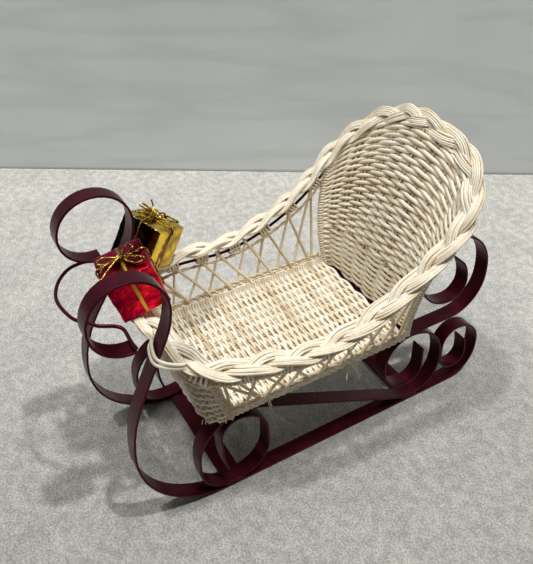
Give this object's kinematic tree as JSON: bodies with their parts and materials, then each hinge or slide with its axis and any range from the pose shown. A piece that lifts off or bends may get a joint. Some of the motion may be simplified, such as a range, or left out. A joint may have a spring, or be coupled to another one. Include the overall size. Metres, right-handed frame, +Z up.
{
  "type": "ornamental sleigh basket",
  "caption": "Open wicker sleigh basket with a plaited rim on a scrolled flat-strap frame, with small foil parcels fixed at the front.",
  "frame": {"origin": "on the table under the middle of the object", "axes": "+Z up, front of the sleigh towards -Y, its left side towards +X"},
  "size_m": [0.1609, 0.3174, 0.2306],
  "materials": {
    "paint": "satin dark red paint",
    "reed": "bare cream reed",
    "foil_red": "metallic red foil",
    "foil_gold": "metallic gold foil"
  },
  "bodies": {
    "root": {"back_panel": "reed", "floor_panel": "reed", "front_loop_rod": "paint", "front_wall": "reed", "ground_strap_front": "paint", "ground_strap_rear": "paint", "parcel_gold": "foil_gold", "parcel_red": "foil_red", "rim_hoop": "paint", "rim_strand_a": "reed", "rim_strand_b": "reed", "rim_strand_c": "reed", "runner_left": "paint", "runner_right": "paint", "scroll_brace_left": "paint", "scroll_brace_right": "paint", "seat_strap_front": "paint", "seat_strap_rear": "paint", "side_band_left": "reed", "side_band_right": "reed", "side_lattice_left": "reed", "side_lattice_right": "reed", "side_rail_left": "paint", "side_rail_right": "paint"}
  },
  "joints": []
}
